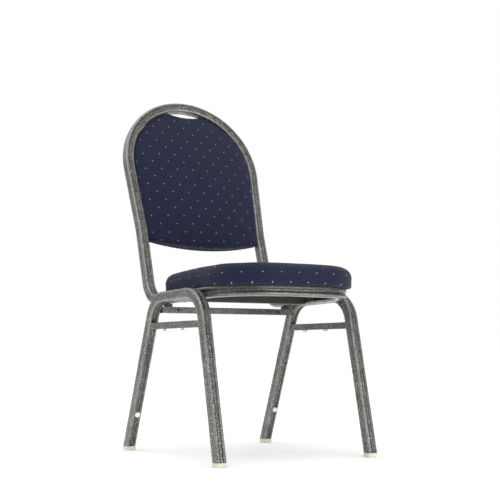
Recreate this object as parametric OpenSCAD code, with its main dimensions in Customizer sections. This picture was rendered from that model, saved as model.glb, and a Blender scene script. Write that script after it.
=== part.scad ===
// Stacking chair: a dome-back banquet chair. A hoop of grooved square tube carries the back pad,
// two bent leg frames are welded beside the seat frame, and a padded seat is screwed on from below.
// Millimetres, +Z up, the front of the chair faces -Y, origin on the floor under the middle.

/* [Frame tube] */
// Outside width of the square frame tube
tube_w = 25; // [24:0.5:26]
// Corner radius of the frame tube
tube_r = 5.5; // [4:0.5:6]
// Wall of the frame tube
tube_wall = 1.2; // [1:0.1:1.5]
// Width of the groove pressed into two faces of the tube
groove_w = 8; // [6:0.5:9]
// Depth of the pressed groove
groove_d = 2; // [1:0.25:2]

/* [Seat frame] */
// Half the distance between the centrelines of the two seat rails
rail_x = 173.5; // [170:0.5:176]
// Height of the rail centreline above the floor, at the middle of the chair
rail_z = 371.5; // [368:0.5:375]
// Slope of the seat frame, down towards the rear
seat_rake = 1.2; // [0.8:0.1:1.6]
// How far forward the outside of the front bow reaches
bow_front = 225; // [222:1:228]
// Bend radius of the bow's corners, on the centreline
bow_bend = 117.5; // [110:0.5:120]

/* [Back] */
// Height of the top of the hoop above the floor
chair_h = 918.5; // [910:0.5:935]
// Tilt of the back from upright
back_tilt = 17.4; // [16.5:0.1:18]
// Where the back leaves the parallel uprights for the taper, rear of the middle
taper_y = 245; // [243:0.5:247]
// Radius of the dome, on the centreline
dome_r = 185; // [183:0.5:187]
// Bend radius between rail and upright
hoop_bend = 65; // [62:1:68]

/* [Legs] */
// Half the distance between the two leg frames
leg_x = 198.5; // [198.5:0.1:198.9]
// Where the front leg's axis meets the floor, ahead of the middle
front_foot = 207.5; // [205:0.5:210]
// Where the rear leg's axis meets the floor, behind the middle
rear_foot = 258; // [256:0.5:260]
// Lean of the front legs from upright
front_lean = 12.5; // [12:0.1:13]
// Lean of the rear legs from upright
rear_lean = 22.5; // [22:0.1:23]
// Bend radius of the leg frames
leg_bend = 70; // [66:1:72]
// Height of the side stretchers' centreline
stretcher_z = 303.5; // [300:0.5:306]
// Width of the square stretcher bar
stretcher_w = 15.5; // [14:0.5:16]
// Height of the stacking buttons
button_z = 94; // [85:1:105]

/* [Upholstery] */
// Half the width of the seat cushion
seat_half_w = 182; // [181:0.5:184]
// How far forward the seat cushion reaches
seat_front = 235; // [232:1:238]
// How far back the seat cushion reaches
seat_rear = 132; // [128:1:138]
// Radius of the seat cushion's front corners
seat_corner = 108; // [100:1:112]
// Radius of the seat cushion's rear corners
seat_rear_corner = 60; // [50:1:70]
// Thickness of the seat cushion at its middle
seat_crown = 51; // [48:1:54]
// How far the back pad stands forward of the tube centreline at its middle
back_crown = 32; // [30:1:34]

/* [Hidden] */
$fn = 48;
half_w = tube_w / 2;
overlap = 1;
lap = 0.4;            // how far a bend runs into the straight tube beside it
skin = 0.02;          // how much thinner a bend's wall is, on each side
cloth = 1.2;          // upholstery cloth, as a shell
ply = 12;             // seat board
back_ply = 8;         // back board

// Seat frame
rake = tan(seat_rake);
function rail_height(y) = rail_z - rake * y;
bow_join = 30;        // bow and rails are butt welded this far ahead of the middle
cross_y = 10;         // seat cross member, rear of the middle
cross_w = 20;
screw_ys = [-66, 6];  // seat screws, two to a rail
screw_hole = 6.5;

// Back plane: s runs up the back from where the uprights start to taper
dome_s = dome_r;
dome_top_s = dome_s + dome_r;
// How far the tilted tube's rounded corner reaches past its axis, upwards and rearwards alike
tube_reach = (half_w - tube_r) * (cos(back_tilt) + sin(back_tilt)) + tube_r;
taper_z = chair_h - dome_top_s * cos(back_tilt) - tube_reach;
reach = norm([rail_x, dome_s]);
taper = asin(dome_r / reach) - atan(rail_x / dome_s);
taper_bend = 120;
taper_len = sqrt(reach * reach - dome_r * dome_r) - taper_bend * tan(taper / 2);
// Length of upright from the taper down to where its axis crosses the rail's axis
upright_drop = (taper_z - rail_z + rake * taper_y) / (cos(back_tilt) + rake * sin(back_tilt));
corner_y = taper_y - upright_drop * sin(back_tilt);
hoop_turn = 90 - back_tilt + seat_rake;
hoop_cut = hoop_bend * tan(hoop_turn / 2);
rail_len = corner_y / cos(seat_rake) + bow_join - hoop_cut;
upright_len = upright_drop - hoop_cut - taper_bend * tan(taper / 2);

// Legs
front_z = (rail_z + rake * front_foot) / (1 + rake * tan(front_lean));
front_y = -front_foot + front_z * tan(front_lean);
rear_z = (rail_z - rake * rear_foot) / (1 - rake * tan(rear_lean));
rear_y = rear_foot - rear_z * tan(rear_lean);
front_turn = 90 + seat_rake - front_lean;
rear_turn = 90 - seat_rake - rear_lean;
front_cut = leg_bend * tan(front_turn / 2);
rear_cut = leg_bend * tan(rear_turn / 2);
run_len = (rear_y - front_y) / cos(seat_rake) - front_cut - rear_cut;
spare = 30;           // tube left below the floor, then cut off level
function front_leg_y(z) = -front_foot + z * tan(front_lean);
function rear_leg_y(z) = rear_foot - z * tan(rear_lean);

// Glides
glide_h = 10;
glide_w = 27;
glide_r = 8;
glide_foot = 2;
stem_len = 32;
stem_gap = 0.5;

// Rear cross bar and its spacers
bar_w = 15;
bar_y = 104;
bar_z = 342;
bar_wall = 1.2;
bar_hole = 5.5;
bar_hole_x = 143.2;
spacer_x = 167;
spacer_w = 16;

// Stacking buttons and stretcher bumpers
button_r = 6.5;
button_stem_r = 3;
button_h = 3.5;
bumper_ys = [60, -30];
bumper_len = 12;
bumper_h = 4;

// Back pad, as distances forward of the tube centreline
pad_gap = 0.6;
pad_r = dome_r - half_w - pad_gap;
pad_side = rail_x - half_w - pad_gap;
pad_low = -48;        // lowest point of the pad's bottom edge
pad_corner_s = -29;
scoop_s = 340;        // hand-hold scoop, lowest point
scoop_angle = 72;
board_front = 3;
board_back = board_front - back_ply;
lug_t = 3;
lug_back = board_back - lug_t;
panel_t = 3;
panel_back = lug_back - panel_t;
back_ball = 1300;     // radius of the pad's crown
lug_w = 25;
lug_len = 28;
lug_hole = 6.5;
lug_s = 30;
lug_angle = 22;

// Seat crown
seat_ball = 3200;
seat_mid = (seat_rear - seat_front) / 2;
seat_inset = 34;      // cloth turned in under the board
lining_t = 0.8;

y_front = -seat_front;
y_rear = taper_y + dome_top_s * sin(back_tilt) + tube_reach;
y_mid = (y_front + y_rear) / 2;

// ---- shared shapes ----

function arc(c, r, from, to, n) =
    [for (i = [0:n]) let (a = from + (to - from) * i / n) c + r * [cos(a), sin(a)]];

// A rounded square with a groove pressed into its two X faces
function grooved(h, r, gw, gd) = concat(
    [[h, -gw / 2], [h - gd, -gw / 2 + gd / 2], [h - gd, gw / 2 - gd / 2], [h, gw / 2]],
    arc([h - r, h - r], r, 0, 90, 4),
    arc([r - h, h - r], r, 90, 180, 4),
    [[-h, gw / 2], [gd - h, gw / 2 - gd / 2], [gd - h, gd / 2 - gw / 2], [-h, -gw / 2]],
    arc([r - h, r - h], r, 180, 270, 4),
    arc([h - r, r - h], r, 270, 360, 4));

// The tube's cut end, with its grooves in the faces that lie at grooves degrees. A positive skin
// thins the wall from both sides.
module tube_section(grooves, skin = 0) {
    inside = half_w - tube_wall + skin;
    rotate(grooves) difference() {
        polygon(grooved(half_w - skin, tube_r - skin, groove_w + 2 * skin, groove_d));
        polygon(grooved(inside, tube_r - tube_wall + skin, groove_w + tube_wall - 2 * skin, groove_d));
    }
}

// One bend, starting up Z and turning towards +X. It runs a little way into the straights at its
// ends, where its thinner wall lies wholly inside theirs, so that they join without a shared face.
module bend(radius, turn, grooves) {
    lap_turn = lap / radius * 180 / PI;
    translate([radius, 0, 0]) rotate([90, 0, 180]) rotate([0, 0, -lap_turn])
        rotate_extrude(angle = turn + 2 * lap_turn) translate([radius, 0])
            tube_section(grooves, skin);
}

// Bent tube: starts up Z. Each move is [straight length, bend radius, turn, roll], and the bend
// turns towards the direction that lies at roll from +X.
module bent(moves, grooves, i = 0) {
    straight = moves[i][0];
    radius = moves[i][1];
    turn = moves[i][2];
    roll = moves[i][3];
    linear_extrude(straight) tube_section(grooves);
    if (turn > 0)
        translate([0, 0, straight]) rotate([0, 0, roll]) {
            bend(radius, turn, grooves + roll);
            translate([radius, 0, 0]) rotate([0, turn, 0]) translate([-radius, 0, 0])
                rotate([0, 0, -roll]) bent(moves, grooves, i + 1);
        }
}

module placed() {
    translate([0, -y_mid, 0]) children();
}

// Frame on the rail centreline at the middle of the chair, sloping with the seat
module on_seat() {
    placed() translate([0, 0, rail_z]) rotate([-seat_rake, 0, 0]) children();
}

// Frame on the back: X across, Z up the back, -Y forwards
module on_back() {
    placed() translate([0, taper_y, taper_z]) rotate([-back_tilt, 0, 0]) children();
}

// Both sides of the chair
module pair() {
    children();
    mirror([1, 0, 0]) children();
}

module seat_screw_holes() {
    pair() for (y = screw_ys)
        translate([rail_x, y, -tube_w]) cylinder(d = screw_hole, h = 2 * tube_w);
}

// ---- frame ----

// Frame at the right end of the dome, Z down along the tube
module dome_end() {
    translate([0, 0, dome_s]) rotate([0, taper, 0]) translate([dome_r, 0, 0])
        rotate([180, 0, 0]) children();
}

module back_hoop() {
    color("#7d7f78") difference() {
        on_back() {
            dome_end() rotate([180, 0, 0]) rotate([0, 0, 180])
                bend(dome_r, 180 + 2 * taper, 90);
            pair() dome_end() bent([
                [taper_len, taper_bend, taper, 0],
                [upright_len, hoop_bend, hoop_turn, 90],
                [rail_len, 0, 0, 0]
            ], 90);
        }
        on_seat() seat_screw_holes();
    }
}

module seat_bow() {
    arm = bow_front - half_w - bow_bend - bow_join;
    color("#7d7f78") on_seat() difference() {
        translate([rail_x, -bow_join, 0]) rotate([-90, 0, 180])
            bent([
                [arm, bow_bend, 90, 0],
                [2 * (rail_x - bow_bend), bow_bend, 90, 0],
                [arm, 0, 0, 0]
            ], 0);
        seat_screw_holes();
    }
}

module leg_frame() {
    color("#7d7f78") placed() difference() {
        translate([leg_x, -front_foot, 0]) rotate([0, 0, 90]) rotate([0, front_lean, 0])
            translate([0, 0, -spare])
                bent([
                    [spare + front_z / cos(front_lean) - front_cut, leg_bend, front_turn, 0],
                    [run_len, leg_bend, rear_turn, 0],
                    [rear_z / cos(rear_lean) - rear_cut + spare, 0, 0, 0]
                ], 0);
        translate([0, -2 * rear_foot, glide_h - 100]) cube([2 * leg_x, 4 * rear_foot, 100]);
        on_button() cylinder(r = button_stem_r + 0.1, h = half_w);
    }
}

// Frame on the rear leg's axis at the button, Z out through its front face
module on_button() {
    translate([leg_x, rear_leg_y(button_z), button_z]) rotate([90 + rear_lean, 0, 0]) children();
}

module left_leg_frame() { mirror([1, 0, 0]) leg_frame(); }
module right_leg_frame() { leg_frame(); }

// Square bar between the facing sides of the two legs
module stretcher() {
    top = stretcher_z + stretcher_w / 2;
    bottom = stretcher_z - stretcher_w / 2;
    front_face = half_w / cos(front_lean);
    rear_face = half_w / cos(rear_lean);
    color("#7d7f78") placed() difference() {
        translate([leg_x - stretcher_w / 2, 0, 0]) rotate([90, 0, 90])
            linear_extrude(stretcher_w) polygon([
                [front_leg_y(bottom) + front_face, bottom],
                [rear_leg_y(bottom) - rear_face, bottom],
                [rear_leg_y(top) - rear_face, top],
                [front_leg_y(top) + front_face, top]
            ]);
        translate([leg_x, 0, stretcher_z])
            cube([stretcher_w - 2 * bar_wall, 2 * rear_foot, stretcher_w - 2 * bar_wall], center = true);
    }
}

module left_stretcher() { mirror([1, 0, 0]) stretcher(); }
module right_stretcher() { stretcher(); }

module rear_cross_bar() {
    span = leg_x - half_w;
    color("#55564f") placed() translate([0, bar_y, bar_z]) difference() {
        cube([2 * span, bar_w, bar_w], center = true);
        cube([2 * span + 2 * overlap, bar_w - 2 * bar_wall, bar_w - 2 * bar_wall], center = true);
        for (x = [-bar_hole_x, bar_hole_x])
            translate([x, 0, 0]) rotate([90, 0, 0])
                cylinder(d = bar_hole, h = bar_w + 2 * overlap, center = true);
    }
}

module seat_cross_member() {
    span = rail_x - half_w;
    color("#55564f") on_seat() translate([0, cross_y, (cross_w - tube_w) / 2]) difference() {
        cube([2 * span, cross_w, cross_w], center = true);
        cube([2 * span + 2 * overlap, cross_w - 3, cross_w - 3], center = true);
    }
}

// Packing block between the cross bar and the underside of the rail
module spacer() {
    low = bar_z + bar_w / 2;
    high = rail_height(bar_y + bar_w / 2) - half_w / cos(seat_rake);
    color("#3a3a38") placed() translate([spacer_x - spacer_w / 2, bar_y - bar_w / 2, low])
        cube([spacer_w, bar_w, high - low]);
}

module left_spacer() { mirror([1, 0, 0]) spacer(); }
module right_spacer() { spacer(); }

// ---- plastic feet, buttons and bumpers ----

module rounded_block(size, r, h) {
    linear_extrude(h) polygon(concat(
        arc([size[0] / 2 - r, size[1] / 2 - r], r, 0, 90, 6),
        arc([r - size[0] / 2, size[1] / 2 - r], r, 90, 180, 6),
        arc([r - size[0] / 2, r - size[1] / 2], r, 180, 270, 6),
        arc([size[0] / 2 - r, r - size[1] / 2], r, 270, 360, 6)));
}

// Cap under a leg, with a stem up inside the tube; lean is the leg's own, negative for the rear
module glide(foot_y, lean) {
    deep = glide_w + 2;
    stem = [tube_w - 2 * (tube_wall + stem_gap),
            tube_w - 2 * (tube_wall + groove_d + stem_gap)];
    color("#e8e4d6") placed() {
        translate([leg_x, foot_y + glide_h * tan(lean), 0]) {
            translate([0, 0, glide_foot]) rounded_block([glide_w, deep], glide_r, glide_h - glide_foot);
            rounded_block([glide_w - 4, deep - 4], glide_r - 2, glide_foot + overlap);
        }
        translate([leg_x, foot_y, 0]) rotate([-lean, 0, 0]) translate([0, 0, glide_h / 2])
            rounded_block(stem, 2, stem_len);
    }
}

module front_right_glide() { glide(-front_foot, front_lean); }
module front_left_glide() { mirror([1, 0, 0]) glide(-front_foot, front_lean); }
module rear_right_glide() { glide(rear_foot, -rear_lean); }
module rear_left_glide() { mirror([1, 0, 0]) glide(rear_foot, -rear_lean); }

// White stud pressed into the groove of a rear leg, which keeps stacked frames apart
module stack_button() {
    color("#f2f2ee") placed() on_button() difference() {
        union() {
            translate([0, 0, half_w]) cylinder(r = button_r, h = button_h - 1);
            translate([0, 0, half_w + button_h - 1])
                cylinder(r1 = button_r, r2 = button_r - 1, h = 1);
            translate([0, 0, half_w - groove_d - tube_wall - 2])
                cylinder(r = button_stem_r, h = groove_d + tube_wall + 3);
        }
        translate([0, 0, half_w + button_h - 1]) cylinder(r = 1.5, h = 2);
    }
}

module left_stack_button() { mirror([1, 0, 0]) stack_button(); }
module right_stack_button() { stack_button(); }

// Clear plastic studs under a stretcher
module bumpers() {
    color("#e6e8e6") placed() for (y = bumper_ys)
        translate([leg_x, y, stretcher_z - stretcher_w / 2 - bumper_h]) intersection() {
            translate([-bumper_len / 4, -bumper_len / 2, 0]) cube([bumper_len / 2, bumper_len, bumper_h]);
            translate([-bumper_len, 0, bumper_len]) rotate([0, 90, 0])
                cylinder(r = bumper_len, h = 2 * bumper_len);
        }
}

module left_stretcher_bumpers() { mirror([1, 0, 0]) bumpers(); }
module right_stretcher_bumpers() { bumpers(); }

// ---- seat ----

function seat_outline(inset) =
    let (w = seat_half_w - inset, f = -seat_front + inset, b = seat_rear - inset,
         r = seat_corner - inset, rear_r = seat_rear_corner - inset)
    concat(
        arc([w - rear_r, b - rear_r], rear_r, 0, 90, 10),
        arc([rear_r - w, b - rear_r], rear_r, 90, 180, 10),
        arc([r - w, f + r], r, 180, 270, 10), arc([w - r, f + r], r, 270, 360, 10));

// A slab of the seat's outline, from one height above the rails to another
module seat_slab(inset, from, to) {
    translate([0, 0, half_w + from]) linear_extrude(to - from) polygon(seat_outline(inset));
}

module seat_dome(inset) {
    translate([0, seat_mid, half_w + seat_crown - inset - (seat_ball - inset)])
        sphere(r = seat_ball - inset, $fn = 420);
}

module seat_nut_holes(d) {
    pair() for (y = screw_ys)
        translate([rail_x, y, half_w]) cylinder(d = d, h = ply + cloth);
}

module seat_board() {
    color("#c9a774") on_seat() difference() {
        seat_slab(cloth, cloth, cloth + ply);
        seat_nut_holes(9);
    }
}

module seat_foam() {
    color("#e8dcae") on_seat() intersection() {
        seat_slab(cloth, cloth + ply, seat_crown);
        seat_dome(cloth);
    }
}

module seat_cover() {
    color("#2e3150") on_seat() difference() {
        intersection() {
            seat_slab(0, 0, seat_crown + 1);
            seat_dome(0);
        }
        intersection() {
            seat_slab(cloth, cloth, seat_crown);
            seat_dome(cloth);
        }
        seat_slab(seat_inset, -1, cloth + 1);
        seat_nut_holes(9);
    }
}

module seat_lining() {
    color("#202020") on_seat() seat_slab(seat_inset + 0.5, cloth - lining_t, cloth);
}

module seat_screws() {
    color("#8a8a86") on_seat() pair() for (y = screw_ys)
        translate([rail_x, y, -half_w]) {
            translate([0, 0, -3]) cylinder(r1 = 4, r2 = 6, h = 3);
            cylinder(r = 2.9, h = tube_w + cloth + ply - 2);
        }
}

module seat_t_nuts() {
    color("#b5b5b0") on_seat() pair() for (y = screw_ys)
        translate([rail_x, y, half_w + cloth]) difference() {
            cylinder(r = 4.4, h = ply - 1);
            translate([0, 0, -1]) cylinder(r = 3, h = ply + 2);
        }
}

// ---- back ----

// Outline of the back pad in the back plane: straight sides, dome, hand-hold scoop, bowed foot
function pad_outline(inset) =
    let (r = pad_r - inset,
         low = pad_low + inset,
         corner = [pad_side - inset, pad_corner_s + inset],
         foot_sag = corner[1] - low,
         foot_r = (corner[0] * corner[0] + foot_sag * foot_sag) / (2 * foot_sag),
         foot_a = asin(corner[0] / foot_r),
         tip = [r * cos(scoop_angle), dome_s + r * sin(scoop_angle)],
         dip = tip[1] - scoop_s + inset,
         scoop_r = (tip[0] * tip[0] + dip * dip) / (2 * dip),
         scoop_a = asin(tip[0] / scoop_r))
    concat(
        arc([0, dome_s], r, -taper, scoop_angle, 14),
        arc([0, scoop_s - inset + scoop_r], scoop_r, 270 + scoop_a, 270 - scoop_a, 10),
        arc([0, dome_s], r, 180 - scoop_angle, 180 + taper, 14),
        arc([0, low + foot_r], foot_r, 270 - foot_a, 270 + foot_a, 10));

// A slab of the pad's outline between two distances forward of the tube centreline
module pad_slab(inset, from, to) {
    translate([0, -from, 0]) rotate([90, 0, 0]) linear_extrude(to - from)
        polygon(pad_outline(inset));
}

module pad_dome(inset) {
    translate([0, back_ball - back_crown, (dome_s + pad_low) / 2 + 40])
        sphere(r = back_ball - inset, $fn = 250);
}

// Frames on the four lugs: on the uprights and on the dome, X outwards to the tube's inner face
module on_lugs() {
    pair() {
        translate([pad_side + pad_gap + lug_s * tan(taper), 0, lug_s]) rotate([0, taper, 0]) children();
        translate([0, 0, dome_s]) rotate([0, -lug_angle, 0])
            translate([dome_r - half_w, 0, 0]) children();
    }
}

module lug_bores(d, from, to) {
    on_lugs() translate([-lug_len + 10, -from, 0]) rotate([90, 0, 0]) cylinder(d = d, h = to - from);
}

// Frames on the six panel clips
module on_clips() {
    pair() for (p = [[60, 290], [120, 130], [60, 0]])
        translate([p[0], 0, p[1]]) children();
}

module clip_bores(d, from, to) {
    on_clips() translate([0, -from, 0]) rotate([90, 0, 0]) cylinder(d = d, h = to - from);
}

module back_lugs() {
    color("#7d7f78") on_back() difference() {
        on_lugs() translate([-lug_len, -board_back, -lug_w / 2]) cube([lug_len - 0.6, lug_t, lug_w]);
        lug_bores(lug_hole, lug_back - 1, board_back + 1);
    }
}

module back_board() {
    color("#c9a774") on_back() difference() {
        pad_slab(cloth, board_back, board_front);
        lug_bores(9, board_back - 1, board_front + 1);
        clip_bores(5.4, board_back - 1, board_front - 2);
    }
}

module back_foam() {
    color("#e8dcae") on_back() intersection() {
        pad_slab(cloth, board_front, back_crown);
        pad_dome(cloth);
    }
}

module back_front_cover() {
    color("#2e3150") on_back() difference() {
        intersection() {
            pad_slab(0, board_back, back_crown + 1);
            pad_dome(0);
        }
        intersection() {
            pad_slab(cloth, board_back - 1, back_crown);
            pad_dome(cloth);
        }
    }
}

module rear_panel() {
    color("#c9a774") on_back() difference() {
        pad_slab(cloth + 1, panel_back, lug_back);
        lug_bores(16, panel_back - 1, lug_back + 1);
        clip_bores(12.4, panel_back - 1, panel_back + 1.5);
        clip_bores(5.4, panel_back - 1, lug_back + 1);
    }
}

module rear_panel_cover() {
    color("#2e3150") on_back() difference() {
        pad_slab(1, panel_back - cloth, lug_back);
        pad_slab(cloth + 1, panel_back, lug_back + 1);
    }
}

module panel_clips() {
    color("#303030") on_back() {
        on_clips() rotate([90, 0, 0]) {
            translate([0, 0, panel_back]) cylinder(r = 6, h = 1.5);
            translate([0, 0, panel_back + 1]) cylinder(r = 2.5, h = board_front - 3 - panel_back - 1);
        }
    }
}

module back_screws() {
    color("#8a8a86") on_back() on_lugs() translate([-lug_len + 10, 0, 0]) rotate([90, 0, 0]) {
        translate([0, 0, lug_back - 2.6]) cylinder(r1 = 5, r2 = 6, h = 2.6);
        translate([0, 0, lug_back]) cylinder(r = 2.9, h = lug_t + back_ply - 1);
    }
}

module back_t_nuts() {
    color("#b5b5b0") on_back() on_lugs() translate([-lug_len + 10, 0, 0]) rotate([90, 0, 0])
        translate([0, 0, board_back]) difference() {
            cylinder(r = 4.4, h = back_ply - 0.5);
            translate([0, 0, -1]) cylinder(r = 3, h = back_ply + 2);
        }
}

back_hoop();
seat_bow();
left_leg_frame();
right_leg_frame();
left_stretcher();
right_stretcher();
rear_cross_bar();
seat_cross_member();
left_spacer();
right_spacer();
front_left_glide();
front_right_glide();
rear_left_glide();
rear_right_glide();
left_stack_button();
right_stack_button();
left_stretcher_bumpers();
right_stretcher_bumpers();
seat_board();
seat_foam();
seat_cover();
seat_lining();
seat_screws();
seat_t_nuts();
back_lugs();
back_board();
back_foam();
back_front_cover();
rear_panel();
rear_panel_cover();
panel_clips();
back_screws();
back_t_nuts();
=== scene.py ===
# Stacking chair with a domed back: the looks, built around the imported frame.
# Metres, +Z up, the front of the chair faces -Y, the middle of the footprint at the origin.

from math import asin, atan, atan2, cos, degrees, hypot, pi, radians, sin, sqrt, tan

import bmesh
import bpy
import numpy as np
from mathutils import Matrix, Vector


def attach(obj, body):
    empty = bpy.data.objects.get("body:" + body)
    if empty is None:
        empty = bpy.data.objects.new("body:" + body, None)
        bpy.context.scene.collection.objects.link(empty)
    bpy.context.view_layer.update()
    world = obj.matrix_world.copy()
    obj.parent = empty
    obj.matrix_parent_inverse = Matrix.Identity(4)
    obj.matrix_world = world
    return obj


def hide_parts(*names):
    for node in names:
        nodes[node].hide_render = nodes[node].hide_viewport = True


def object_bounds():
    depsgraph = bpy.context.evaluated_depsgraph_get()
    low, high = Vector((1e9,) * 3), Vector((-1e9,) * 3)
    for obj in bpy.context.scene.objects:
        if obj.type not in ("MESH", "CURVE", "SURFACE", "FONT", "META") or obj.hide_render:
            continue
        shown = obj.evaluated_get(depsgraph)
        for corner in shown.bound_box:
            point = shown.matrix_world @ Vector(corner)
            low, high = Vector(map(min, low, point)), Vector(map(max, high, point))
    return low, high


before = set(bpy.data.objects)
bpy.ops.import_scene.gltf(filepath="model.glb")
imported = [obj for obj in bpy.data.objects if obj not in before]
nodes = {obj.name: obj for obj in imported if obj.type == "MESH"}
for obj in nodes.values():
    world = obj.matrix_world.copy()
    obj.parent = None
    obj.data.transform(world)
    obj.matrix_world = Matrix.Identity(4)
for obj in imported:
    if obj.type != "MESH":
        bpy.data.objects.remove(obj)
cad_low, cad_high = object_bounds()
scene = bpy.context.scene


# ---- Camera, floor and light ----
# A long lens at knee height, a little to the chair's left, looking slightly upwards. The floor
# is pale and faintly lit, the room is white, and there are three broad lamps and a soft box.

lens_place = Matrix.Translation((-1.2704, -2.1960, 0.2442))
lens_turn = (Matrix.Rotation(radians(-30.84), 4, "Z") @ Matrix.Rotation(radians(95.57), 4, "X")
             @ Matrix.Rotation(radians(-0.18), 4, "Z"))
bpy.ops.object.select_all(action="DESELECT")
bpy.ops.object.camera_add()
camera = bpy.context.object
camera.matrix_world = lens_place @ lens_turn
camera.data.lens = 74.3
camera.data.sensor_width = 36
scene.camera = camera
scene.view_settings.view_transform = "Standard"


def linear(hex_colour):
    """An sRGB hex colour as the linear RGBA that shader sockets take."""
    channels = [int(hex_colour[i:i + 2], 16) / 255 for i in (1, 3, 5)]
    return [c / 12.92 if c <= 0.04045 else ((c + 0.055) / 1.055) ** 2.4 for c in channels] + [1]


def add_node(tree, kind, sockets=None, **settings):
    """Adds a node with its settings; a socket's value is a number or colour, or a link."""
    node = tree.nodes.new(kind)
    for name, value in settings.items():
        setattr(node, name, value)
    for name, value in (sockets or {}).items():
        if isinstance(value, bpy.types.NodeSocket):
            tree.links.new(value, node.inputs[name])
        else:
            node.inputs[name].default_value = value
    return node


def new_finish(name, **shader_values):
    """A material with one Principled shader, whose constant values are set on its own sockets."""
    material = bpy.data.materials.new(name)
    material.use_nodes = True
    tree = material.node_tree
    shader = tree.nodes["Principled BSDF"]
    for socket, value in shader_values.items():
        shader.inputs[socket.replace("_", " ")].default_value = value
    return material, tree, shader


def ramp(tree, value, stops):
    """A colour ramp over value; stops are (position, hex colour)."""
    node = add_node(tree, "ShaderNodeValToRGB", {0: value})
    while len(node.color_ramp.elements) < len(stops):
        node.color_ramp.elements.new(0.5)
    for element, (position, hex_colour) in zip(node.color_ramp.elements, stops):
        element.position = position
        element.color = linear(hex_colour)
    return node.outputs["Color"]


def bump(tree, shader, height, distance, strength=1.0):
    """Bends the shader's normal by a height, scaled to a distance in metres."""
    node = add_node(tree, "ShaderNodeBump", {"Height": height, "Distance": distance,
                                             "Strength": strength})
    tree.links.new(node.outputs["Normal"], shader.inputs["Normal"])


# The room lights the chair more from above than from the sides, and is seen as plain white
world = bpy.data.worlds.new("white_room")
world.use_nodes = True
tree = world.node_tree
room = tree.nodes["Background"]
room.inputs["Color"].default_value = linear("#ffffff")
direction = add_node(tree, "ShaderNodeTexCoord").outputs["Generated"]
upwards = add_node(tree, "ShaderNodeSeparateXYZ", {0: direction}).outputs["Z"]
glow = add_node(tree, "ShaderNodeMapRange", {"Value": upwards, "From Max": 0.9, "To Min": 0.24,
                                             "To Max": 0.92}).outputs[0]
tree.links.new(glow, room.inputs["Strength"])
walls = add_node(tree, "ShaderNodeBackground", {"Color": linear("#ffffff"), "Strength": 1.0})
seen = add_node(tree, "ShaderNodeLightPath").outputs["Is Camera Ray"]
both = add_node(tree, "ShaderNodeMixShader", {0: seen, 1: room.outputs[0], 2: walls.outputs[0]})
tree.links.new(both.outputs[0], tree.nodes["World Output"].inputs["Surface"])
scene.world = world

# The floor is matt opal acrylic, lit faintly from below, so shadows on it stay pale
floor_acrylic, tree, shader = new_finish("lit_opal_acrylic", Roughness=0.9, Emission_Strength=0.12)
coords = add_node(tree, "ShaderNodeTexCoord").outputs["Object"]
drift = add_node(tree, "ShaderNodeTexNoise", {"Vector": coords, "Scale": 1.0}).outputs[0]
tree.links.new(ramp(tree, drift, [(0.3, "#f7f7f6"), (0.7, "#fbfbfa")]),
               shader.inputs["Base Color"])
bpy.ops.object.select_all(action="DESELECT")
bpy.ops.mesh.primitive_plane_add(size=40, location=(0, 0, 0))
floor = bpy.context.object
floor.name = "floor"
floor.data.materials.append(floor_acrylic)

# Overcast-soft lamps, far off: one from the left, a weak one from in front, one from behind
for direction, strength, softness in (((-0.9, -0.5, 1.3), 1.0, 80), ((0.5, -1.0, 0.5), 0.35, 80),
                                      ((0.3, 1.0, 1.2), 0.6, 120)):
    bpy.ops.object.select_all(action="DESELECT")
    bpy.ops.object.light_add(type="SUN", location=Vector(direction) * 3)
    lamp = bpy.context.object
    lamp.rotation_euler = Vector(direction).to_track_quat("Z", "Y").to_euler()
    lamp.data.energy = strength
    lamp.data.angle = radians(softness)

# A soft box stands low in front, so the legs are lit more than the back is
bpy.ops.object.select_all(action="DESELECT")
box_place = Vector((0.45, -1.45, 0.20))
box_aim = Vector((0, 0, 0.20))
bpy.ops.object.light_add(type="AREA", location=box_place)
lamp = bpy.context.object
lamp.rotation_euler = (box_place - box_aim).to_track_quat("Z", "Y").to_euler()
lamp.data.size = 0.7
lamp.data.energy = 6
lamp.visible_camera = False


# ---- Frame paint ----
# Silver vein powder coat on steel: a dark undercoat shows as fine veins between silver flecks
# that flow together as it cures. It leaves a hammered, half-glossy skin. The rounded corners are
# given a painted highlight, and the walls of the grooves a painted shade.

VEIN = 0.0021         # spacing of the veins
PATCH = 0.03          # size of the faintly lighter and darker patches


def vein_coat(name, undercoat, shade, fleck, glint):
    """The coat, from the colour of its veins to the brightest flecks."""
    material, tree, shader = new_finish(name, Metallic=0.65, Roughness=0.30, Coat_Weight=0.4,
                                        Coat_Roughness=0.2)
    coords = add_node(tree, "ShaderNodeTexCoord").outputs["Object"]
    veins = add_node(tree, "ShaderNodeTexNoise", {"Vector": coords, "Scale": 1 / VEIN,
                                                  "Detail": 2.0, "Roughness": 0.6,
                                                  "Distortion": 0.4}).outputs[0]
    patches = add_node(tree, "ShaderNodeTexNoise", {"Vector": coords, "Scale": 1 / PATCH,
                                                    "Detail": 1.0}).outputs[0]
    mixed = add_node(tree, "ShaderNodeMath", {0: patches, 1: 0.12, 2: veins},
                     operation="MULTIPLY_ADD").outputs[0]
    colour = ramp(tree, mixed, [(0.42, undercoat), (0.53, shade), (0.61, fleck), (0.74, glint)])
    # Painted shade darkens the walls of the grooves and a painted highlight lightens the rounded
    # corners, by a mark carried on the tube's mesh
    painted_shade_highlight = add_node(tree, "ShaderNodeAttribute", attribute_name="painted_shade_highlight").outputs["Fac"]
    for furthest, most, hex_colour in ((-1, 0.85, "#181816"), (1, 0.22, "#c4c4bf")):
        amount = add_node(tree, "ShaderNodeMapRange", {"Value": painted_shade_highlight, "From Max": furthest,
                                                       "To Max": most}).outputs[0]
        colour = add_node(tree, "ShaderNodeMix", {0: amount, 6: colour, 7: linear(hex_colour)},
                          data_type="RGBA").outputs[2]
    tree.links.new(colour, shader.inputs["Base Color"])
    bump(tree, shader, veins, 0.0006)
    return material
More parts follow.
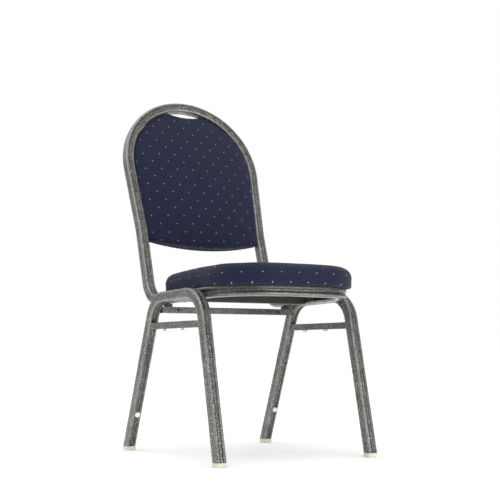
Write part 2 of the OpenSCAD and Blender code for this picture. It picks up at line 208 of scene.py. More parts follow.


# The bow, the rear bar and the lugs get a darker copy of the same coat: painted shade for the
# shadow they lie in. That it is the paint that makes them look darker is a guess: it may just be
# shade.
vein_paint = vein_coat("silver_vein_powder_coat", "#22221f", "#464643", "#70706c", "#c6c6c1")
shaded_vein_paint = vein_coat("shaded_vein_powder_coat", "#1c1c1a", "#3c3c39", "#585855", "#8f8f8b")


# ---- Back hoop, seat bow and leg frames ----
# One bent length each of 25 mm square steel tube, with a groove rolled into two facing sides.
# The hoop and bow are butt welded into the seat frame, and a leg frame is welded to each side.

TUBE_W = 0.025
TUBE_R = 0.0055
GROOVE_W = 0.008
GROOVE_D = 0.002
LIP_R = 0.0009               # rounding of the groove's lips
WALL_AT = 0.0034             # from the groove's middle to the middle of its wall
WALL_REACH = 0.0019          # how far the painted shade spreads to each side of that
middle_y = cad_high.y - 0.235          # the seat's front edge is 235 mm ahead of the design origin
rail_x = 0.1735
rail_z = 0.3715
seat_rake = radians(1.2)
back_tilt = radians(17.4)
taper_y = 0.245
dome_r = 0.185
seat_place = Matrix.Translation((0, -middle_y, rail_z)) @ Matrix.Rotation(-seat_rake, 4, "X")
tube_reach = (TUBE_W / 2 - TUBE_R) * (cos(back_tilt) + sin(back_tilt)) + TUBE_R
taper_z = cad_high.z - 2 * dome_r * cos(back_tilt) - tube_reach
back_place = (Matrix.Translation((0, taper_y - middle_y, taper_z))
              @ Matrix.Rotation(-back_tilt, 4, "X"))


def select_points(test):
    """In edit mode, selects just the points whose place passes the test."""
    bpy.ops.mesh.select_mode(type="VERT")
    bpy.ops.mesh.select_all(action="DESELECT")
    mesh = bmesh.from_edit_mesh(bpy.context.object.data)
    for point in mesh.verts:
        point.select_set(test(point.co))
    mesh.select_flush(True)
    bmesh.update_edit_mesh(bpy.context.object.data)


def start_piece(name, add, **sizes):
    """Adds a primitive on its own, names it and opens it in edit mode with all selected."""
    bpy.ops.object.select_all(action="DESELECT")
    add(**sizes)
    piece = bpy.context.object
    piece.name = piece.data.name = name
    bpy.ops.object.mode_set(mode="EDIT")
    bpy.ops.mesh.select_all(action="SELECT")
    return piece


def place_mesh(piece, place):
    """Leaves edit mode and moves the mesh to its place, with the object left at the origin."""
    if bpy.context.object.mode == "EDIT":
        bpy.ops.object.mode_set(mode="OBJECT")
    piece.matrix_world = place
    bpy.ops.object.transform_apply(location=True, rotation=True, scale=True)


def finish_piece(piece, material, slot, *replaced, smooth=40):
    """Shades a piece, gives it its material and ties it to the frame."""
    bpy.ops.object.select_all(action="DESELECT")
    piece.select_set(True)
    bpy.context.view_layer.objects.active = piece
    bpy.ops.object.shade_smooth_by_angle(angle=radians(smooth))
    piece.data.materials.clear()
    piece.data.materials.append(material)
    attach(piece, "root")
    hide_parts(*replaced)


def coat(material, *names):
    """Gives CAD pieces their finish."""
    for name in names:
        nodes[name].data.materials.clear()
        nodes[name].data.materials.append(material)


def tube_outline(groove_turn):
    """The tube's cut end as a ring of edges in the XY plane, with both of its grooves."""
    half = TUBE_W / 2
    lip = 0.005               # where a subdivided side has the points that become the lips
    bpy.ops.mesh.bevel(affect="VERTICES", offset=TUBE_R, offset_type="OFFSET", segments=6)
    for side in (-1, 1):
        select_points(lambda p: p.x * side > half - 1e-5)
        bpy.ops.mesh.subdivide(number_cuts=6)
    select_points(lambda p: abs(p.x) > half - 1e-5 and abs(p.y) < 0.8 * (half - TUBE_R))
    bpy.ops.transform.resize(value=(1, GROOVE_W / 2 / lip, 1), center_override=(0, 0, 0))
    for side in (-1, 1):
        select_points(lambda p: p.x * side > half - 1e-5 and abs(p.y) < 0.4 * GROOVE_W)
        bpy.ops.transform.translate(value=(-side * GROOVE_D, 0, 0))
    select_points(lambda p: abs(p.x) > half - 1.5 * GROOVE_D
                  and 0.2 * GROOVE_W < abs(p.y) < 0.6 * GROOVE_W)
    bpy.ops.mesh.bevel(affect="VERTICES", offset=LIP_R, segments=2)
    mesh = bmesh.from_edit_mesh(bpy.context.object.data)
    # Marks where colour stands in for light: down to -1 on the middle of each groove wall, for
    # painted shade, and 1 on the rounded corners, for a painted highlight
    painted_shade_highlight = mesh.verts.layers.float.new("painted_shade_highlight")
    for point in mesh.verts:
        across, along = abs(point.co.x), abs(point.co.y)
        if across > half - 1.5 * GROOVE_D and along < half - TUBE_R:
            point[painted_shade_highlight] = min(abs(along - WALL_AT) / WALL_REACH - 1, 0)
        elif min(across, along) > half - TUBE_R + 1e-5:
            point[painted_shade_highlight] = 1.0
    bmesh.update_edit_mesh(bpy.context.object.data)
    bpy.ops.mesh.select_all(action="SELECT")
    bpy.ops.transform.rotate(value=-groove_turn, orient_axis="Z", center_override=(0, 0, 0))
    bpy.ops.mesh.delete(type="ONLY_FACE")
    bpy.ops.mesh.select_all(action="SELECT")


def bent_tube(name, moves, groove_turn):
    """Draws a tube from the origin up Z, as a bender would: each move is a straight length, then
    a bend of a radius and a turn, towards the direction that lies at roll from +X."""
    piece = start_piece(name, bpy.ops.mesh.primitive_plane_add, size=TUBE_W)
    tube_outline(groove_turn)
    here = Matrix.Identity(4)
    for straight, radius, turn, roll in moves:
        bpy.ops.mesh.extrude_region_move(
            TRANSFORM_OT_translate={"value": here.to_3x3() @ Vector((0, 0, straight))})
        here = here @ Matrix.Translation((0, 0, straight))
        if turn:
            side = here @ Matrix.Rotation(radians(roll), 4, "Z")
            centre = side @ Vector((radius, 0, 0))
            bpy.ops.mesh.spin(steps=max(4, round(turn / 3)), angle=-radians(turn), center=centre,
                              axis=side.to_3x3() @ Vector((0, 1, 0)))
            here = (side @ Matrix.Translation((radius, 0, 0))
                    @ Matrix.Rotation(radians(turn), 4, "Y")
                    @ Matrix.Translation((-radius, 0, 0)) @ Matrix.Rotation(-radians(roll), 4, "Z"))
    bpy.ops.mesh.select_all(action="SELECT")
    bpy.ops.mesh.remove_doubles(threshold=1e-6)
    bpy.ops.mesh.fill_holes(sides=0)
    bpy.ops.mesh.select_all(action="SELECT")
    bpy.ops.mesh.normals_make_consistent(inside=False)
    return piece


def mirrored_copy(piece, name):
    """A copy of a piece with its own mesh, on the other side of the chair."""
    bpy.ops.object.select_all(action="DESELECT")
    piece.select_set(True)
    bpy.context.view_layer.objects.active = piece
    bpy.ops.object.duplicate()
    twin = bpy.context.object
    twin.name = twin.data.name = name
    bpy.ops.object.mode_set(mode="EDIT")
    bpy.ops.mesh.select_all(action="SELECT")
    bpy.ops.transform.resize(value=(-1, 1, 1), center_override=(0, 0, 0))
    bpy.ops.mesh.normals_make_consistent(inside=False)
    bpy.ops.object.mode_set(mode="OBJECT")
    return twin


# The hoop: up from one rail, over the dome and down to the other
bow_join = 0.030
hoop_bend = 0.065
taper_bend = 0.120
reach = hypot(rail_x, dome_r)
taper = asin(dome_r / reach) - atan(rail_x / dome_r)
taper_len = sqrt(reach ** 2 - dome_r ** 2) - taper_bend * tan(taper / 2)
slope = tan(seat_rake)
upright_drop = ((taper_z - rail_z + slope * taper_y) / (cos(back_tilt) + slope * sin(back_tilt)))
corner_y = taper_y - upright_drop * sin(back_tilt)
hoop_turn = pi / 2 - back_tilt + seat_rake
hoop_cut = hoop_bend * tan(hoop_turn / 2)
rail_len = corner_y / cos(seat_rake) + bow_join - hoop_cut
upright_len = upright_drop - hoop_cut - taper_bend * tan(taper / 2)
hoop = bent_tube("hoop_tube", [
    (rail_len, hoop_bend, degrees(hoop_turn), -90),
    (upright_len, taper_bend, degrees(taper), 0),
    (taper_len, dome_r, 180 + 2 * degrees(taper), 180),
    (taper_len, taper_bend, degrees(taper), 0),
    (upright_len, hoop_bend, degrees(hoop_turn), -90),
    (rail_len, 0, 0, 0)], pi / 2)
place_mesh(hoop, seat_place @ Matrix.Translation((rail_x, -bow_join, 0))
           @ Matrix.Rotation(-pi / 2, 4, "X"))
finish_piece(hoop, vein_paint, "frame_paint", "back_hoop")

# The bow: the front U of the seat frame
bow_bend = 0.1175
arm = 0.225 - TUBE_W / 2 - bow_bend - bow_join
bow = bent_tube("bow_tube", [(arm, bow_bend, 90, 0),
                             (2 * (rail_x - bow_bend), bow_bend, 90, 0), (arm, 0, 0, 0)], 0)
place_mesh(bow, seat_place @ Matrix.Translation((rail_x, -bow_join, 0))
           @ Matrix.Rotation(pi, 4, "Z") @ Matrix.Rotation(-pi / 2, 4, "X"))
# The bow takes the darker copy of the coat, as painted shade
finish_piece(bow, shaded_vein_paint, "frame_paint", "seat_bow")

# The leg frames: an inverted U each, cut off level just above the floor
leg_x = 0.1985
front_foot = 0.2075
rear_foot = 0.258
front_lean = radians(12.5)
rear_lean = radians(22.5)
leg_bend = 0.070
glide_h = 0.010
spare = 0.030
front_z = (rail_z + slope * front_foot) / (1 + slope * tan(front_lean))
front_y = -front_foot + front_z * tan(front_lean)
rear_z = (rail_z - slope * rear_foot) / (1 - slope * tan(rear_lean))
rear_y = rear_foot - rear_z * tan(rear_lean)
front_turn = pi / 2 + seat_rake - front_lean
rear_turn = pi / 2 - seat_rake - rear_lean
front_cut = leg_bend * tan(front_turn / 2)
rear_cut = leg_bend * tan(rear_turn / 2)
right_leg = bent_tube("right_leg_tube", [
    (spare + front_z / cos(front_lean) - front_cut, leg_bend, degrees(front_turn), 0),
    ((rear_y - front_y) / cos(seat_rake) - front_cut - rear_cut, leg_bend,
     degrees(rear_turn), 0),
    (rear_z / cos(rear_lean) - rear_cut + spare, 0, 0, 0)], 0)
place_mesh(right_leg, Matrix.Translation((leg_x, -front_foot - middle_y, 0))
           @ Matrix.Rotation(pi / 2, 4, "Z") @ Matrix.Rotation(front_lean, 4, "Y")
           @ Matrix.Translation((0, 0, -spare)))
bpy.ops.object.mode_set(mode="EDIT")
bpy.ops.mesh.select_all(action="SELECT")
bpy.ops.mesh.bisect(plane_co=(0, 0, glide_h), plane_no=(0, 0, 1), use_fill=True,
                    clear_inner=True)
bpy.ops.object.mode_set(mode="OBJECT")
left_leg = mirrored_copy(right_leg, "left_leg_tube")
finish_piece(right_leg, vein_paint, "frame_paint", "right_leg_frame")
finish_piece(left_leg, vein_paint, "frame_paint", "left_leg_frame")

# The cross member under the seat is coloured a plain, slightly dusty near black: painted shade for
# the dark under the seat
painted_shade_black, tree, shader = new_finish("painted_shade_black_paint", Roughness=0.55)
coords = add_node(tree, "ShaderNodeTexCoord").outputs["Object"]
dust = add_node(tree, "ShaderNodeTexNoise", {"Vector": coords, "Scale": 1 / 0.02,
                                             "Detail": 4.0}).outputs[0]
tree.links.new(ramp(tree, dust, [(0.35, "#222220"), (0.7, "#32322f")]),
               shader.inputs["Base Color"])
bump(tree, shader, dust, 0.0002, 0.3)
coat(painted_shade_black, "seat_cross_member")

# The thin bars are square tube with plain sides, and the lugs are bent strip
coat(vein_paint, "left_stretcher", "right_stretcher")
# The rear bar and the lugs take the darker copy of the coat, as painted shade
coat(shaded_vein_paint, "rear_cross_bar", "back_lugs")


# ---- Small plastic and steel parts ----
# Polyethylene glides and studs pushed into the tube, moulded spacers and clear bumpers.
# Zinc plated screws hold the seat from below and the back from behind.


def soft_plastic(name, light, dark, roughness, **shader_values):
    """Moulded plastic: even colour, with a faint cloudiness and a fine sparked texture."""
    material, tree, shader = new_finish(name, Roughness=roughness, **shader_values)
    coords = add_node(tree, "ShaderNodeTexCoord").outputs["Object"]
    cloud = add_node(tree, "ShaderNodeTexNoise", {"Vector": coords, "Scale": 1 / 0.012,
                                                  "Detail": 3.0}).outputs[0]
    grain = add_node(tree, "ShaderNodeTexNoise", {"Vector": coords, "Scale": 1 / 0.0008,
                                                  "Detail": 1.0}).outputs[0]
    tree.links.new(ramp(tree, cloud, [(0.3, dark), (0.7, light)]), shader.inputs["Base Color"])
    bump(tree, shader, grain, 0.0001, 0.4)
    return material


ivory = soft_plastic("ivory_polyethylene", "#dfdbc9", "#cfcab7", 0.45)
white_plastic = soft_plastic("white_nylon", "#f4f4f1", "#e9e9e5", 0.4)
clear_plastic = soft_plastic("clear_pvc", "#f6f8f6", "#eef0ee", 0.15, Transmission_Weight=0.9,
                             IOR=1.5)
black_plastic = soft_plastic("black_nylon", "#2b2b2a", "#1d1d1c", 0.5)


def select_edges(test):
    """In edit mode, selects just the edges whose two ends pass the test."""
    bpy.ops.mesh.select_mode(type="EDGE")
    bpy.ops.mesh.select_all(action="DESELECT")
    mesh = bmesh.from_edit_mesh(bpy.context.object.data)
    for edge in mesh.edges:
        edge.select_set(test(edge.verts[0].co, edge.verts[1].co))
    bmesh.update_edit_mesh(bpy.context.object.data)


def top_face(piece, direction=(0, 0, 1)):
    """In edit mode, selects just the face that lies furthest along a direction."""
    bpy.ops.mesh.select_mode(type="FACE")
    bpy.ops.mesh.select_all(action="DESELECT")
    mesh = bmesh.from_edit_mesh(piece.data)
    along = Vector(direction)
    furthest = max(f.calc_center_median().dot(along) for f in mesh.faces)
    level = [f for f in mesh.faces if f.calc_center_median().dot(along) > furthest - 1e-5]
    max(level, key=lambda f: f.calc_area()).select_set(True)
    bmesh.update_edit_mesh(piece.data)


# A glide is a shallow cup with rounded corners, and a plug that goes up inside the tube
for name, foot, lean in (("front", -front_foot, front_lean), ("rear", rear_foot, -rear_lean)):
    glide = start_piece(f"{name}_right_glide_cap", bpy.ops.mesh.primitive_cube_add, size=1)
    bpy.ops.transform.resize(value=(0.027, 0.029, glide_h), center_override=(0, 0, 0))
    bpy.ops.transform.translate(value=(leg_x, foot - middle_y + glide_h * tan(lean), glide_h / 2))
    select_edges(lambda a, b: abs(a.z - b.z) > glide_h / 2)
    bpy.ops.mesh.bevel(affect="EDGES", offset=0.008, segments=7)
    select_edges(lambda a, b: max(a.z, b.z) < 1e-5)
    bpy.ops.mesh.bevel(affect="EDGES", offset=0.0042, segments=5)
    select_edges(lambda a, b: min(a.z, b.z) > glide_h - 1e-5)
    bpy.ops.mesh.bevel(affect="EDGES", offset=0.0008, segments=2)
    top_face(glide)
    bpy.ops.mesh.inset(thickness=0.0040)
    bpy.ops.mesh.extrude_region_move(
        TRANSFORM_OT_translate={"value": (0, 0.017 * tan(lean), 0.017)})
    bpy.ops.object.mode_set(mode="OBJECT")
    twin = mirrored_copy(glide, f"{name}_left_glide_cap")
    finish_piece(glide, ivory, "glide_plastic", f"{name}_right_glide", smooth=35)
    finish_piece(twin, ivory, "glide_plastic", f"{name}_left_glide", smooth=35)

# A stacking stud has a domed head with a dimple, and a stem that snaps into the tube's groove
BUTTON_Z = 0.094
BUTTON_H = 0.0035
stud = start_piece("right_stacking_stud", bpy.ops.mesh.primitive_cylinder_add, vertices=40,
                   radius=0.0065, depth=BUTTON_H)
select_edges(lambda a, b: min(a.z, b.z) > BUTTON_H / 2 - 1e-6)
bpy.ops.mesh.bevel(affect="EDGES", offset=0.0016, segments=4)
top_face(stud)
bpy.ops.mesh.inset(thickness=0.0030)
bpy.ops.transform.translate(value=(0, 0, 0.0003))
bpy.ops.mesh.inset(thickness=0.0006)
bpy.ops.transform.translate(value=(0, 0, -0.0009))
top_face(stud, (0, 0, -1))
bpy.ops.mesh.inset(thickness=0.0036)
bpy.ops.mesh.extrude_region_move(TRANSFORM_OT_translate={"value": (0, 0, -0.005)})
place_mesh(stud, Matrix.Translation((leg_x, rear_foot - BUTTON_Z * tan(rear_lean) - middle_y,
                                     BUTTON_Z))
           @ Matrix.Rotation(pi / 2 + rear_lean, 4, "X")
           @ Matrix.Translation((0, 0, TUBE_W / 2 + BUTTON_H / 2)))
twin = mirrored_copy(stud, "left_stacking_stud")
finish_piece(stud, white_plastic, "button_plastic", "right_stack_button", smooth=35)
finish_piece(twin, white_plastic, "button_plastic", "left_stack_button", smooth=35)

coat(clear_plastic, "left_stretcher_bumpers", "right_stretcher_bumpers")
coat(black_plastic, "left_spacer", "right_spacer", "panel_clips")

zinc, tree, shader = new_finish("zinc_plated_steel", Metallic=1.0, Roughness=0.35)
coords = add_node(tree, "ShaderNodeTexCoord").outputs["Object"]
dull = add_node(tree, "ShaderNodeTexNoise", {"Vector": coords, "Scale": 1 / 0.003,
                                             "Detail": 4.0}).outputs[0]
tree.links.new(ramp(tree, dull, [(0.35, "#8f908c"), (0.65, "#c3c4c0")]),
               shader.inputs["Base Color"])
bump(tree, shader, dull, 0.0001, 0.3)
coat(zinc, "seat_screws", "seat_t_nuts", "back_screws", "back_t_nuts")


# ---- Boards, foam and lining ----
# Poplar plywood, moulded foam and the black spun cloth that closes the seat from below. All of
# these are guesses, as the covers hide them, save for the edges of the boards in the back.


def plywood(name, dark, light):
    """Sliced veneer: fine grain, drawn out along the board."""
    material, tree, shader = new_finish(name, Roughness=0.6)
    coords = add_node(tree, "ShaderNodeTexCoord").outputs["Object"]
    stretched = add_node(tree, "ShaderNodeMapping", {"Vector": coords,
                                                     "Scale": (1, 0.08, 1)}).outputs[0]
    grain = add_node(tree, "ShaderNodeTexNoise", {"Vector": stretched, "Scale": 1 / 0.004,
                                                  "Detail": 4.0}).outputs[0]
    tree.links.new(ramp(tree, grain, [(0.35, dark), (0.65, light)]),
                   shader.inputs["Base Color"])
    bump(tree, shader, grain, 0.0002, 0.4)
    return material


# The covers don't wrap over the edges of the boards in the back, as real ones would, so the boards
# are coloured near black to keep those edges from showing round the hand hold; under the pad's
# foot that near black is painted shade for the gap there
coat(plywood("poplar_plywood", "#b98f5c", "#d4b27e"), "seat_board")
coat(plywood("shade_dark_plywood", "#15151a", "#22222a"), "back_board", "rear_panel")

# Spun polypropylene: short random fibres, pressed in a dotted grid of about 1 mm
lining, tree, shader = new_finish("spun_polypropylene", Roughness=0.9)
coords = add_node(tree, "ShaderNodeTexCoord").outputs["Object"]
fibres = add_node(tree, "ShaderNodeTexNoise", {"Vector": coords, "Scale": 1 / 0.0015,
                                               "Detail": 4.0, "Distortion": 2.0}).outputs[0]
tree.links.new(ramp(tree, fibres, [(0.35, "#131313"), (0.65, "#2a2a2b")]),
               shader.inputs["Base Color"])
bump(tree, shader, fibres, 0.0003)
coat(lining, "seat_lining")


# ---- Upholstery cloth ----
# Woven polyester in navy with a small pale dot woven in every 45 mm, in staggered rows.
# The threads break up the light, so it is matt with a faint sheen at glancing angles.


def dotted_cloth(name, dot_hex, phase, column, row):
    """The cloth, laid by a piece's own flat-pattern coordinates, in metres: column is from one
    dot to the next along a row, and row from one row to the next but one."""
    dot = 0.0012
    thread = 0.0011           # twice a usual cloth's spacing, as finer threads don't show
    material, tree, shader = new_finish(name, Roughness=0.92, Sheen_Weight=0.08,
                                        Sheen_Roughness=0.5, Specular_IOR_Level=0.25)
    laid = add_node(tree, "ShaderNodeAttribute", attribute_name="laid_flat").outputs["Vector"]
    shifted = add_node(tree, "ShaderNodeVectorMath", {0: laid, 1: (phase[0], phase[1], 0)},
                       operation="ADD").outputs[0]
    nearest = None
    for start in (0.0, 0.5):
        cells = add_node(tree, "ShaderNodeVectorMath",
                         {0: shifted, 1: (1 / column, 1 / row, 0), 2: (start, start, 0)},
                         operation="MULTIPLY_ADD").outputs[0]
        inside = add_node(tree, "ShaderNodeVectorMath", {0: cells},
                          operation="FRACTION").outputs[0]
        offset = add_node(tree, "ShaderNodeVectorMath",
                          {0: inside, 1: (column, row, 0),
                           2: (-column / 2, -row / 2, 0)}, operation="MULTIPLY_ADD").outputs[0]
        away = add_node(tree, "ShaderNodeVectorMath", {0: offset},
                        operation="LENGTH").outputs["Value"]
        nearest = away if nearest is None else add_node(
            tree, "ShaderNodeMath", {0: nearest, 1: away}, operation="MINIMUM").outputs[0]
    is_dot = add_node(tree, "ShaderNodeMapRange", {"Value": nearest, "From Min": dot * 1.15,
                                                   "From Max": dot * 0.7}).outputs[0]
    warp, weft = (add_node(tree, "ShaderNodeTexWave", {"Vector": laid, "Scale": pi / thread / 10},
                           bands_direction=way).outputs["Fac"] for way in ("X", "Y"))
    weave = add_node(tree, "ShaderNodeMath", {0: warp, 1: weft}, operation="MULTIPLY").outputs[0]
    slub = add_node(tree, "ShaderNodeTexNoise", {"Vector": laid, "Scale": 1 / 0.004,
                                                 "Detail": 4.0}).outputs[0]
    tone = add_node(tree, "ShaderNodeMath", {0: weave, 1: 0.35, 2: slub},
                    operation="MULTIPLY_ADD").outputs[0]
    navy = ramp(tree, tone, [(0.35, "#14172d"), (0.85, "#1f2341")])
    colour = add_node(tree, "ShaderNodeMix", {0: is_dot, 6: navy, 7: linear(dot_hex)},
                      data_type="RGBA").outputs[2]
    tree.links.new(colour, shader.inputs["Base Color"])
    height = add_node(tree, "ShaderNodeMath", {0: is_dot, 1: 0.8, 2: weave},
                      operation="MULTIPLY_ADD").outputs[0]
    bump(tree, shader, height, 0.0003, 0.6)
    return material


def loft(name, rings):
    """A closed shell through rings of points, with each end filled in."""
    mesh = bmesh.new()
    loops = [[mesh.verts.new(point) for point in ring] for ring in rings]
    for low, high in zip(loops, loops[1:]):
        for i in range(len(low)):
            j = (i + 1) % len(low)
            mesh.faces.new((low[i], low[j], high[j], high[i]))
    ends = [mesh.faces.new(loop) for loop in (loops[0], loops[-1])]
    bmesh.ops.triangulate(mesh, faces=ends, ngon_method="BEAUTY")
    bmesh.ops.recalc_face_normals(mesh, faces=mesh.faces)
    data = bpy.data.meshes.new(name)
    mesh.to_mesh(data)
    mesh.free()
    piece = bpy.data.objects.new(name, data)
    scene.collection.objects.link(piece)
    bpy.ops.object.select_all(action="DESELECT")
    piece.select_set(True)
    bpy.context.view_layer.objects.active = piece
    return piece


def add_modifier(piece, kind, **settings):
    modifier = piece.modifiers.new(kind.lower(), kind)
    for name, value in settings.items():
        setattr(modifier, name, value)
    return modifier


def stuff(piece, held, cap):
    """Stretches a cover over its filling: cloth under pressure from inside, with the points that
    are held on the board kept still, and no point moved inwards or further out than the cap."""
    points = piece.data.vertices
    before = [(p.co.copy(), p.normal.copy()) for p in points]
    group = piece.vertex_groups.new(name="held")
    group.add([p.index for p in points if held(p.co)], 1.0, "REPLACE")
    cloth = add_modifier(piece, "CLOTH")
    cloth.settings.use_pressure = True
    cloth.settings.uniform_pressure_force = 4
    cloth.settings.effector_weights.gravity = 0
    cloth.settings.vertex_group_mass = "held"
    cloth.settings.quality = 4
    for step in range(1, 21):
        scene.frame_set(step)
    bpy.ops.object.modifier_apply(modifier=cloth.name)
    scene.frame_set(1)
    swelling = np.array([min(max((p.co - start).dot(outward), 0), cap)
                         for p, (start, outward) in zip(piece.data.vertices, before)])
    ends = np.array([edge.vertices[:] for edge in piece.data.edges])
    joined = np.bincount(ends.ravel(), minlength=len(swelling))
    for _ in range(12):                       # the foam evens out what the cloth alone would do
        around = (np.bincount(ends[:, 0], swelling[ends[:, 1]], len(swelling))
                  + np.bincount(ends[:, 1], swelling[ends[:, 0]], len(swelling)))
        swelling = (swelling + around / joined) / 2
    for p, (start, outward), out in zip(piece.data.vertices, before, swelling):
        p.co = start + outward * out
    bpy.ops.object.modifier_apply(
        modifier=add_modifier(piece, "SUBSURF", levels=1, render_levels=1).name)


def lay_flat(piece, flat_place):
    """Stores where each face's corners lie on the flat cloth, for the pattern to follow. The
    face's middle goes along, so that a face is cut from one panel of cloth."""
    laid = piece.data.attributes.new("laid_flat", "FLOAT_VECTOR", "CORNER")
    points = [p.co.copy() for p in piece.data.vertices]
    for face in piece.data.polygons:
        centre = face.center.copy()
        for corner, point in zip(face.loop_indices, face.vertices):
            laid.data[corner].vector = flat_place(points[point], centre)


def run(start, end, count):
    """Points strictly between two places, evenly apart."""
    return [(start[0] + (end[0] - start[0]) * i / count, start[1] + (end[1] - start[1]) * i / count)
            for i in range(1, count)]


def turn_arc(middle, radius, start, end, count):
    """Points on an arc, by angle in degrees."""
    return [(middle[0] + radius * cos(radians(start + (end - start) * i / count)),
             middle[1] + radius * sin(radians(start + (end - start) * i / count)))
            for i in range(count + 1)]


# ---- Seat cushion ----
# Navy cloth stretched over moulded foam on a plywood board, and stapled under the board's edge.
# It is domed by 5 to 10 mm, with soft upper edges, and its sides draw in where the board is.

SEAT_HALF_W = 0.182
SEAT_FRONT = 0.235
SEAT_REAR = 0.132
SEAT_CORNER = 0.108
REAR_CORNER = 0.060
SEAT_CROWN = 0.051
SEAT_BALL = 3.2
SEAT_EDGE = 0.018            # rounding of the upper edge
SEAT_MIDDLE = (SEAT_REAR - SEAT_FRONT) / 2


def seat_ring(inset):
    w, f, b = SEAT_HALF_W - inset, inset - SEAT_FRONT, SEAT_REAR - inset
    r, q = SEAT_CORNER - inset, REAR_CORNER - inset
    return (turn_arc((w - q, b - q), q, 0, 90, 20) + run((w - q, b), (q - w, b), 40)
            + turn_arc((q - w, b - q), q, 90, 180, 20) + run((-w, b - q), (-w, f + r), 32)
            + turn_arc((r - w, f + r), r, 180, 270, 30) + run((r - w, f), (w - r, f), 24)
            + turn_arc((w - r, f + r), r, 270, 360, 30) + run((w, f + r), (w, b - q), 32))


def seat_dome(x, y):
    return SEAT_CROWN - SEAT_BALL + sqrt(SEAT_BALL ** 2 - x ** 2 - (y - SEAT_MIDDLE) ** 2)


BASE_RISE = 0.0019           # the middle of the base clears the lining


def towards_middle(ring, middle, count):
    """The ring drawn in to a middle point in even steps, nearest first."""
    return [[middle + (Vector(p) - middle) * (1 - i / count) for p in ring]
            for i in range(1, count)]


INNER = 0.055                # from here to the middle, the rings are drawn in evenly
middle = Vector((0, SEAT_MIDDLE, BASE_RISE))
inner = [(x, y, BASE_RISE) for x, y in seat_ring(INNER)]
rings = towards_middle(inner, middle, 14)[::-1] + [inner]
rings += [[(x, y, z) for x, y in seat_ring(inset)]
          for inset, z in ((0.045, BASE_RISE), (0.035, BASE_RISE), (0.034, -0.0004),
                           (0.022, -0.0004), (0.010, -0.0004), (0.003, -0.0004),
                           (0.0006, 0.0004), (-0.0004, 0.003), (-0.0004, 0.008),
                           (-0.0002, 0.013), (-0.0006, 0.018), (-0.0010, 0.023),
                           (-0.0006, 0.028))]
for step in range(8):
    turn = radians(90 * step / 7)
    inset, drop = SEAT_EDGE * (1 - cos(turn)), SEAT_EDGE * (1 - sin(turn))
    rings.append([(x, y, seat_dome(x, y) - drop) for x, y in seat_ring(inset)])
rings += [[(x, y, seat_dome(x, y)) for x, y in seat_ring(SEAT_EDGE + (INNER - SEAT_EDGE) * i / 6)]
          for i in range(1, 7)]
rings += [[(x, y, seat_dome(x, y)) for x, y, _ in ring]
          for ring in towards_middle(rings[-1], middle, 22)]
cushion = loft("seat_cushion", rings)
stuff(cushion, lambda p: p.z < 0.010, 0.0035)


def seat_flat(p, centre):
    """The top lies as it is. The side band runs on round the outline from the middle of the
    front, so its rows of dots follow the edge."""
    if seat_dome(centre.x, centre.y) - centre.z < SEAT_EDGE / 4:
        return p.x, p.y, 0
    side = 1 if centre.x > 0 else -1
    x, y = p.x * side, p.y
    radius, flat, near = SEAT_CORNER, SEAT_HALF_W - SEAT_CORNER, -SEAT_FRONT + SEAT_CORNER
    front_arc = flat + radius * pi / 2
    rear_y = SEAT_REAR - REAR_CORNER
    if y > rear_y:
        across = SEAT_HALF_W - REAR_CORNER
        turned = atan2(y - rear_y, max(x - across, 1e-6))
        out = hypot(x - across, y - rear_y) - REAR_CORNER if x > across else y - SEAT_REAR
        along = front_arc + rear_y - near + REAR_CORNER * turned + max(across - x, 0)
    elif y > near:
        out, along = x - SEAT_HALF_W, front_arc + y - near
    elif x > flat:
        out = hypot(x - flat, y - near) - radius
        along = flat + radius * atan2(x - flat, near - y)
    else:
        out, along = -SEAT_FRONT - y, x
    down = seat_dome(p.x, p.y) - p.z
    return side * along, -SEAT_FRONT - out - down, 0


lay_flat(cushion, seat_flat)
place_mesh(cushion, seat_place @ Matrix.Translation((0, 0, TUBE_W / 2)))
seat_cloth = dotted_cloth("navy_woven_seat_cloth", "#cdc6ae", (0.0128, 0.034), 0.0462, 0.0440)
finish_piece(cushion, seat_cloth, "seat_cloth", "seat_cover", "seat_foam", smooth=60)


# ---- Back pad ----
# The same cloth over thin foam on a plywood board, shaped to the hoop, with a hollow at the top
# that leaves a hand hold. Its lower edge has a stitched hem, and the sides lie against the tube.

PAD_R = dome_r - TUBE_W / 2 - 0.0006
PAD_SIDE = rail_x - TUBE_W / 2 - 0.0006
PAD_LOW = -0.048
PAD_CORNER_S = -0.029
SCOOP_S = 0.340
SCOOP_ANGLE = 72
BACK_CROWN = 0.032
BACK_BALL = 1.3
BOARD_BACK = -0.005
BACK_MIDDLE = (dome_r + PAD_LOW) / 2 + 0.040
PAD_EDGE = 0.009
PAD_INNER = 0.100            # from here to the middle, the rings are drawn in evenly
PAD_MIDDLE_S = 0.13


def pad_ring(inset):
    """The pad's outline: dome, hand-hold hollow, tapered sides and bowed foot, as x and s."""
    r, low = PAD_R - inset, PAD_LOW + inset
    corner = (PAD_SIDE - inset, PAD_CORNER_S + inset)
    sag = corner[1] - low
    foot_r = (corner[0] ** 2 + sag ** 2) / (2 * sag)
    foot_turn = degrees(asin(corner[0] / foot_r))
    tip = (r * cos(radians(SCOOP_ANGLE)), dome_r + r * sin(radians(SCOOP_ANGLE)))
    dip = tip[1] - SCOOP_S + inset
    scoop_r = (tip[0] ** 2 + dip ** 2) / (2 * dip)
    scoop_turn = degrees(asin(tip[0] / scoop_r))
    right = turn_arc((0, dome_r), r, -degrees(taper), SCOOP_ANGLE, 44)
    left = turn_arc((0, dome_r), r, 180 - SCOOP_ANGLE, 180 + degrees(taper), 44)
    foot = turn_arc((0, low + foot_r), foot_r, 270 - foot_turn, 270 + foot_turn, 64)
    return (right + turn_arc((0, SCOOP_S - inset + scoop_r), scoop_r, 270 + scoop_turn,
                             270 - scoop_turn, 24)[1:-1]
            + left + run(left[-1], foot[0], 40) + foot + run(foot[-1], right[0], 40))


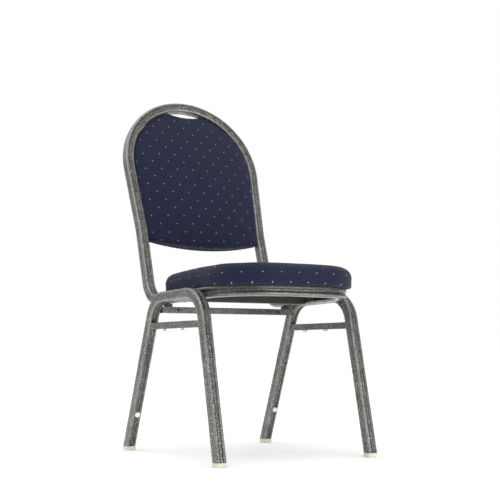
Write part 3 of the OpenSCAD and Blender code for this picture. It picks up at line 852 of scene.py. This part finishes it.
def pad_dome(x, s):
    return BACK_CROWN - BACK_BALL + sqrt(BACK_BALL ** 2 - x ** 2 - (s - BACK_MIDDLE) ** 2)


# In the pad's own frame X is across, Y up the back and Z forwards.
pad_place = back_place @ Matrix.Rotation(pi / 2, 4, "X")


def pad_shell(name, sides, edge, front):
    """Rings from the middle of the closed face, round the side and over the front face; sides
    are the inset and height of each ring from the closed face to where the edge rounds off."""
    back = sides[0][1]
    inner = [(x, s, back) for x, s in pad_ring(PAD_INNER)]
    shell = towards_middle(inner, Vector((0, PAD_MIDDLE_S, back)), 8)[::-1] + [inner]
    shell += [[(x, s, z) for x, s in pad_ring(inset)] for inset, z in sides]
    inset_from = sides[-1][0]
    for step in range(6):
        turn = radians(18 * step)
        shell.append([(x, s, front(x, s) - edge * (1 - sin(turn)))
                      for x, s in pad_ring(inset_from + edge * (1 - cos(turn)))])
    start = inset_from + edge
    shell += [[(x, s, front(x, s)) for x, s in pad_ring(start + (PAD_INNER - start) * i / 16)]
              for i in range(1, 17)]
    shell += [[(x, s, front(x, s)) for x, s, _ in ring]
              for ring in towards_middle(shell[-1], Vector((0, PAD_MIDDLE_S, 0)), 12)]
    return loft(name, shell)


# The hem stands out as a thin ridge round the side
pad = pad_shell("back_pad", [(0.070, BOARD_BACK), (0.040, BOARD_BACK), (0.015, BOARD_BACK),
                             (0.003, BOARD_BACK), (0.0004, BOARD_BACK + 0.0008),
                             (0.0, BOARD_BACK + 0.004), (0.0008, BOARD_BACK + 0.006),
                             (-0.0004, BOARD_BACK + 0.0075), (0.0008, BOARD_BACK + 0.009),
                             (0.0, BOARD_BACK + 0.011)],
                PAD_EDGE, lambda x, s: pad_dome(x, s) - 0.002)
stuff(pad, lambda p: p.z < 0.006, 0.003)


def pad_flat(p, _):
    """Round the sides the flat cloth runs on outwards, and it was cut a little askew."""
    askew = 0.0195
    down = max(pad_dome(p.x, p.y) - 0.002 - p.z, 0)
    out = Vector((p.x, max(p.y - dome_r, 0))).normalized()
    if p.y < 0 and PAD_SIDE - abs(p.x) > p.y - PAD_LOW:
        out = Vector((0, -1))
    return p.x + down * out.x, p.y + down * out.y - askew * p.x, 0


lay_flat(pad, pad_flat)
place_mesh(pad, pad_place)
back_cloth = dotted_cloth("navy_woven_back_cloth", "#b4b5c2", (-0.0046, -0.0125), 0.0442,
                          0.0443)
finish_piece(pad, back_cloth, "back_cloth", "back_front_cover", "back_foam", smooth=60)

# Rear panel: thin board wrapped in the same cloth, with softly rounded edges
PANEL_FRONT = -0.008
PANEL_BACK = -0.0122
panel = pad_shell("rear_panel_cloth", [(0.070, -PANEL_FRONT), (0.030, -PANEL_FRONT),
                                       (0.003, -PANEL_FRONT), (0.001, -PANEL_FRONT + 0.0004)],
                  0.003, lambda x, s: -PANEL_BACK)
for p in panel.data.vertices:
    p.co.z = -p.co.z
bpy.ops.object.mode_set(mode="EDIT")
bpy.ops.mesh.select_all(action="SELECT")
bpy.ops.mesh.normals_make_consistent(inside=False)
bpy.ops.object.mode_set(mode="OBJECT")
lay_flat(panel, lambda p, _: (p.x, p.y, 0))
place_mesh(panel, pad_place)
finish_piece(panel, back_cloth, "back_cloth", "rear_panel_cover")
